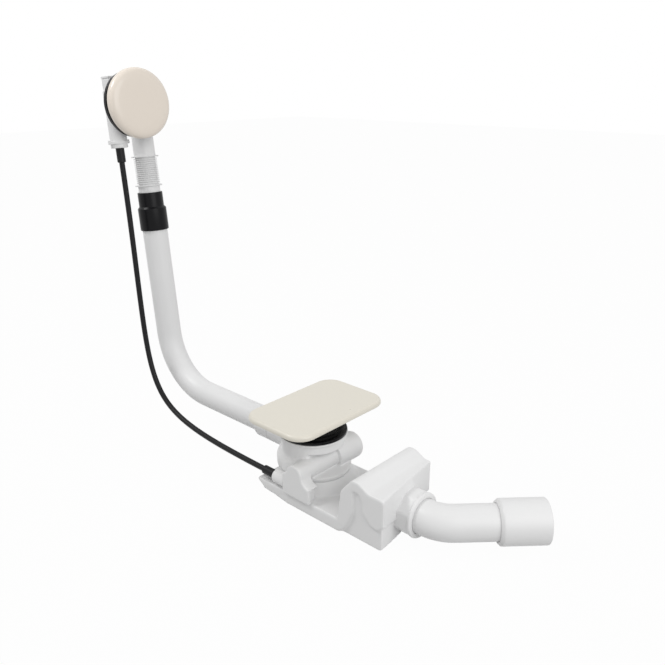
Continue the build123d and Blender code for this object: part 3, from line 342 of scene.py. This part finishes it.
def rounded(corner, before, after, radius, steps=4):
    """Points of an outline that round one corner between its two neighbours."""
    point = Vector(corner)
    back = (Vector(before) - point).normalized()
    ahead = (Vector(after) - point).normalized()
    half = back.angle(ahead) / 2
    reach = radius / math.tan(half)
    centre = point + (back + ahead).normalized() * (radius / math.sin(half))
    start = point + back * reach - centre
    sweep = math.pi - 2 * half
    if start.x * (point + ahead * reach - centre).y - start.y * (point + ahead * reach - centre).x < 0:
        sweep = -sweep
    turns = [sweep * i / steps for i in range(steps + 1)]
    return [(centre.x + start.x * math.cos(a) - start.y * math.sin(a),
             centre.y + start.x * math.sin(a) + start.y * math.cos(a)) for a in turns]


def soft_outline(corners):
    """An outline whose corners (radius, height, rounding) are run round where they state a rounding."""
    points = []
    for i, (x, y, radius) in enumerate(corners):
        if radius:
            before = corners[i - 1][:2]
            after = corners[(i + 1) % len(corners)][:2]
            points += rounded((x, y), before, after, radius)
        else:
            points.append((x, y))
    return points


# White mouldings

soft_moulding("trap_moulding", "trap_body", 1.2, 4)
soft_moulding("waste_body_moulding", "drain_body", 0.92, 4)
soft_moulding("overflow_nut_moulding", "overflow_nut", 0.7, 2)
soft_moulding("cable_bushing_moulding", "cable_bushing", 0.5, 3)
soft_moulding("cable_collar_moulding", "cable_collar", 0.4, 2)
soft_moulding("overflow_head_moulding", "overflow_housing", 0.9, 2)


def rack_cap():
    """The cap on the rack's channel, a hair wider than the channel, as a pressed-in lid sits."""
    shape = merged_copy("rack_cap")
    lip = 1.03
    middle = sum((vert.co for vert in shape.verts), Vector()) / len(shape.verts)
    bmesh.ops.scale(shape, verts=shape.verts, vec=(lip, lip, lip), space=Matrix.Translation(-middle))
    soft_moulding("rack_cap_moulding", "rack_cap", 0.4, 2, shape)


rack_cap()


def outlet_nut():
    """The trap's outlet nut, with its hidden rear run further back into the ramp."""
    shape = merged_copy("outlet_nut")
    rear_x = 150.0
    run_back = 13.0
    behind = [vert for vert in shape.verts if vert.co.x < rear_x * MM]
    bmesh.ops.translate(shape, verts=behind, vec=(-run_back * MM, 0, 0))
    soft_moulding("outlet_nut_moulding", "outlet_nut", 0.7, 2, shape)


outlet_nut()


def end_socket():
    """The angled end socket, its mouth a little nearer the bend than the solid's."""
    shape = merged_copy("end_piece")
    mouth_depth = 6.0
    shortening = 3.5
    along = Vector((1, 1, 0)).normalized()
    mouth = max(vert.co.dot(along) for vert in shape.verts)
    far = [vert for vert in shape.verts if vert.co.dot(along) > mouth - mouth_depth * MM]
    bmesh.ops.translate(shape, verts=far, vec=along * -shortening * MM)
    soft_moulding("end_socket_moulding", "end_piece", 0.8, 2, shape)


end_socket()


# Knob

def soft_knob():
    """A shallow cup with a slightly domed face and a wide soft rim, and a hub for the spindle inside."""
    face = [(0, 12.0, 0), (14, 11.95, 0), (25, 11.75, 0), (32, 11.45, 0)]
    rim = [(37.0, 10.6, 0), (40.2, 9.0, 0), (42.0, 6.6, 0), (42.7, 3.6, 0), (42.7, 0.0, 0.7)]
    inside = [(40.3, 0.0, 0.5), (40.2, 9.0, 1.5), (8.0, 9.3, 0.8), (8.0, 1.5, 0.5), (4.5, 1.5, 0),
              (4.5, 8.5, 0), (0, 8.5, 0)]
    shape = turned_shape(soft_outline(face + rim + inside), 128)
    bmesh.ops.transform(shape, matrix=knob_place, verts=shape.verts)
    stand_for(shape, "knob_cap", "overflow_knob", 50, knob_beige_painted_light)


soft_knob()


# Rubber sleeve and ribbed adapter

def soft_sleeve():
    """The black rubber reducer: a wide lower cuff, a soft step and a narrow neck."""
    corners = [(16.6, 218.0, 0.4), (18.8, 218.0, 1.2), (18.8, 247.2, 0.8), (16.4, 249.7, 0.8),
               (16.4, 268.5, 0.9), (14.2, 268.5, 0.4), (14.2, 246.2, 0), (16.6, 246.0, 0)]
    shape = turned_shape(soft_outline(corners))
    bmesh.ops.transform(shape, matrix=pipe_place, verts=shape.verts)
    stand_for(shape, "rubber_reducer", "rubber_sleeve", 50)


def ribbed_neck():
    """The white push-on adapter: thirteen sealing ribs between two thin rings with an ear at either side."""
    low, high, foot, nipple = 277.5, 315.2, 247.0, 323.5
    wall, bore, groove, rib, ring = 14.2, 12.4, 13.0, 15.1, 16.8
    nipple_outside, nipple_bore = 11.9, 10.1
    half_ring = 0.6
    end_room = 2
    ribs = 13
    pitch = (high - low - 2 * end_room) / ribs
    rib_foot, rib_top = pitch * 0.26, pitch * 0.22
    corners = [(bore, foot, 0), (wall, foot, 0.5), (wall, low - half_ring, 0), (ring, low - half_ring, 0.2),
               (ring, low + half_ring, 0.2), (groove, low + half_ring, 0)]
    for i in range(ribs):
        middle = low + end_room + pitch * (i + 0.5)
        corners += [(groove, middle - rib_foot, 0), (rib, middle - rib_top, 0.2),
                    (rib, middle + rib_top, 0.2), (groove, middle + rib_foot, 0)]
    corners += [(groove, high - half_ring, 0), (ring, high - half_ring, 0.2), (ring, high + half_ring, 0.2),
                (nipple_outside, high + half_ring, 0), (nipple_outside, nipple, 0.5),
                (nipple_bore, nipple, 0), (nipple_bore, high - end_room, 0), (bore, high - end_room, 0)]
    ear_size = (4.0, 4.8, 1.6)
    ear_reach, ear_drop = 15.5, 0.2
    shape = turned_shape(soft_outline(corners))
    for height in (low, high):
        for side in (135, 315):
            before = set(shape.verts)
            bmesh.ops.create_cube(shape, size=1.0)
            ear = [vert for vert in shape.verts if vert not in before]
            bmesh.ops.scale(shape, verts=ear, vec=ear_size)
            edges = [edge for edge in shape.edges if edge.verts[0] in ear and edge.verts[1] in ear]
            bmesh.ops.bevel(shape, geom=edges, offset=0.3, segments=2, profile=0.5, affect="EDGES",
                            material=-1)
            ear = [vert for vert in shape.verts if vert not in before]
            bmesh.ops.translate(shape, verts=ear, vec=(ear_reach, 0, height - ear_drop))
            turn = Matrix.Rotation(math.radians(side), 3, "Z")
            bmesh.ops.rotate(shape, verts=ear, cent=(0, 0, 0), matrix=turn)
    bmesh.ops.transform(shape, matrix=pipe_place, verts=shape.verts)
    stand_for(shape, "ribbed_neck", "ribbed_adapter", 40)


soft_sleeve()
ribbed_neck()


# Cable

def hanging_cable():
    """The drive cable: it leaves the head straight down and swings in one even curve to the collar."""
    head_end = Vector((-298.2, -41.3, 300.2))
    leaves = Vector((-297.28, -41.3, 290.23))
    arrives = Vector((-38.0, -46.0, -52.2))
    collar_end = Vector((-28.0, -46.0, -52.2))
    along_x = Vector((1, 0, 0))
    straight = 3
    fall_pull = 320.0
    run_pull = 280.0
    cable_radius = 3.5
    line = bpy.data.curves.new("cable_line", "CURVE")
    line.dimensions = "3D"
    line.resolution_u = 48
    line.bevel_depth = cable_radius * MM
    line.bevel_resolution = 6
    line.use_fill_caps = True
    route = line.splines.new("BEZIER")
    route.bezier_points.add(3)
    stops = [(head_end, head_end + wall_up * straight, head_end - wall_up * straight),
             (leaves, leaves + wall_up * straight, leaves - wall_up * fall_pull),
             (arrives, arrives - along_x * run_pull, arrives + along_x * straight),
             (collar_end, collar_end - along_x * straight, collar_end + along_x * straight)]
    for point, (place, before, after) in zip(route.bezier_points, stops):
        point.handle_left_type = "FREE"
        point.handle_right_type = "FREE"
        point.co = place * MM
        point.handle_left = before * MM
        point.handle_right = after * MM
    raw = bpy.data.objects.new("cable_line", line)
    bpy.context.scene.collection.objects.link(raw)
    seen = raw.evaluated_get(bpy.context.evaluated_depsgraph_get())
    shape = bmesh.new()
    shape.from_mesh(seen.to_mesh())
    seen.to_mesh_clear()
    bpy.data.objects.remove(raw)
    bpy.data.curves.remove(line)
    bmesh.ops.remove_doubles(shape, verts=shape.verts, dist=0.001 * MM)
    bmesh.ops.recalc_face_normals(shape, faces=shape.faces)
    stand_for(shape, "cable", "cable_sheath", 50)


hanging_cable()


# Studio

floor_height = -0.0800
lamp_target = (0, 0, 0.05)
paper_floor(floor_height, whiteness=0.975)
paper_world(light_strength=0.62)
soft_lamp("key", (-0.81, -0.77, 1.40), lamp_target, size=0.4, power=8.5)
soft_lamp("side", (1.67, -0.19, 0.92), lamp_target, size=1.4, power=13.8)
